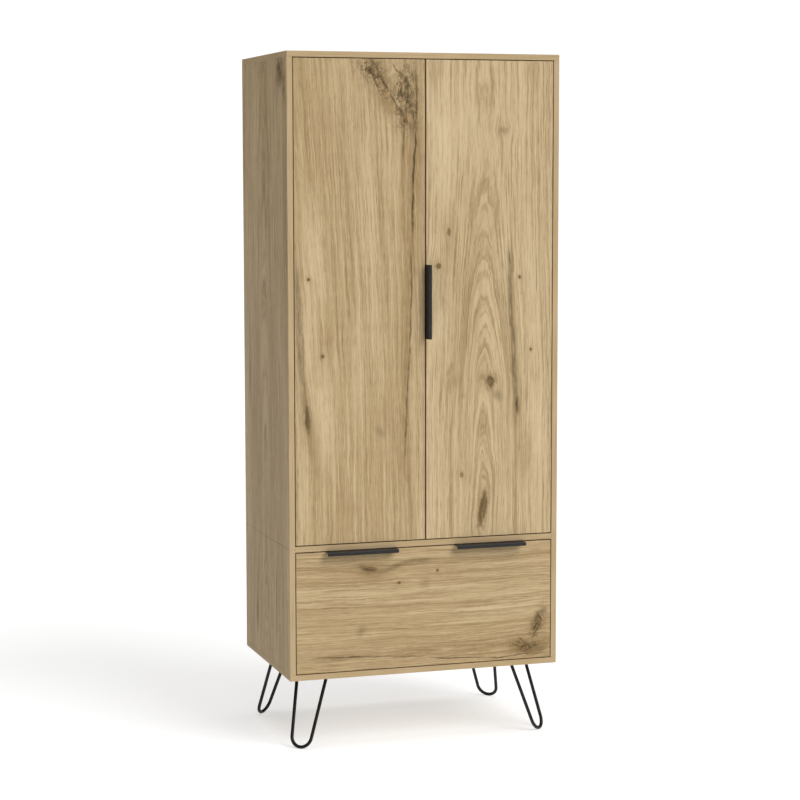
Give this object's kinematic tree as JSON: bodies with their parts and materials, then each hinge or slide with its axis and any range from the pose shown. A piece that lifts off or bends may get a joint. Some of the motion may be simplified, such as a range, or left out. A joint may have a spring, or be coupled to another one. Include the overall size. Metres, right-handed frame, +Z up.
{
  "type": "armoire",
  "caption": "Tall oak-decor armoire with two inset hinged doors over one wide drawer, folded black edge pulls and splayed black hairpin legs.",
  "frame": {"origin": "on the floor, under the middle of the bounding box (handles included)", "axes": "+Z up, -Y out of the front, +X to the right seen from the front"},
  "size_m": [0.785, 0.525, 1.92],
  "materials": {
    "oak_board": "matt knotty oak decor on chipboard",
    "hardboard": "thin hardboard, decor on the inside, bare brown behind",
    "drawer_board": "plain light decor",
    "handle_steel": "satin near-black powder coat",
    "leg_steel": "satin black powder coat",
    "black_screws": "black zinc",
    "hinge_nickel": "nickel plated",
    "pin_steel": "ground steel",
    "rail_chrome": "bright chrome",
    "socket_plastic": "black nylon",
    "beech": "bare beech",
    "cast_zinc": "cast zinc",
    "cage_steel": "bright steel",
    "runner_steel": "galvanised",
    "bracket_zinc": "galvanised",
    "zinc_screws": "bright zinc"
  },
  "bodies": {
    "carcass": {"back_panel_lower": "hardboard", "back_panel_upper": "hardboard", "bottom_panel": "oak_board", "cam_bolts": "zinc_screws", "cam_locks": "cast_zinc", "chipboard_screws": "zinc_screws", "corner_brackets": "bracket_zinc", "dowels": "beech", "euro_screws": "zinc_screws", "hanging_rail": "rail_chrome", "hat_shelf": "oak_board", "hinge_adjusters": "zinc_screws", "hinge_arm_left_high": "hinge_nickel", "hinge_arm_left_low": "hinge_nickel", "hinge_arm_left_middle": "hinge_nickel", "hinge_arm_right_high": "hinge_nickel", "hinge_arm_right_low": "hinge_nickel", "hinge_arm_right_middle": "hinge_nickel", "hinge_plates": "hinge_nickel", "leg_back_left": "leg_steel", "leg_back_right": "leg_steel", "leg_front_left": "leg_steel", "leg_front_right": "leg_steel", "leg_screws": "black_screws", "lower_side_left": "oak_board", "lower_side_right": "oak_board", "middle_panel": "oak_board", "rail_sockets": "socket_plastic", "runner_cabinet_left": "runner_steel", "runner_cabinet_right": "runner_steel", "shelf_pins": "bracket_zinc", "top_panel": "oak_board", "upper_side_left": "oak_board", "upper_side_right": "oak_board", "wall_brackets": "bracket_zinc"},
    "left_door": {"door_left": "oak_board", "hinge_cups_left": "hinge_nickel", "hinge_cup_screws_left": "zinc_screws", "hinge_pins_left": "pin_steel"},
    "right_door": {"door_right": "oak_board", "hinge_cups_right": "hinge_nickel", "hinge_cup_screws_right": "zinc_screws", "hinge_pins_right": "pin_steel", "door_handle": "handle_steel", "door_handle_screws": "zinc_screws"},
    "drawer": {"drawer_front": "oak_board", "drawer_side_left": "drawer_board", "drawer_side_right": "drawer_board", "drawer_back": "drawer_board", "drawer_bottom": "hardboard", "drawer_cam_fittings": "cast_zinc", "drawer_handle_left": "handle_steel", "drawer_handle_right": "handle_steel", "drawer_handle_screws": "zinc_screws", "runner_drawer_left": "runner_steel", "runner_drawer_right": "runner_steel", "drawer_runner_screws": "zinc_screws"},
    "runner_middles": {"runner_middle_left": "runner_steel", "runner_middle_right": "runner_steel", "runner_ball_cages": "cage_steel"}
  },
  "joints": [
    {"name": "left_door_hinge", "type": "hinge", "parent": "carcass", "child": "left_door", "pos_m": [-0.364, -0.231, 1.2395], "axis": [0, 0, -1], "range_deg": [0, 100]},
    {"name": "right_door_hinge", "type": "hinge", "parent": "carcass", "child": "right_door", "pos_m": [0.364, -0.231, 1.2395], "axis": [0, 0, 1], "range_deg": [0, 100]},
    {"name": "drawer_slide", "type": "slide", "parent": "carcass", "child": "drawer", "axis": [0, -1, 0], "range_m": [0, 0.4]},
    {"name": "runner_slide", "type": "slide", "parent": "carcass", "child": "runner_middles", "axis": [0, -1, 0], "range_m": [0, 0.2]}
  ],
  "couplings": [
    {"joint": "runner_slide", "follows": "drawer_slide", "ratio": 0.5}
  ]
}
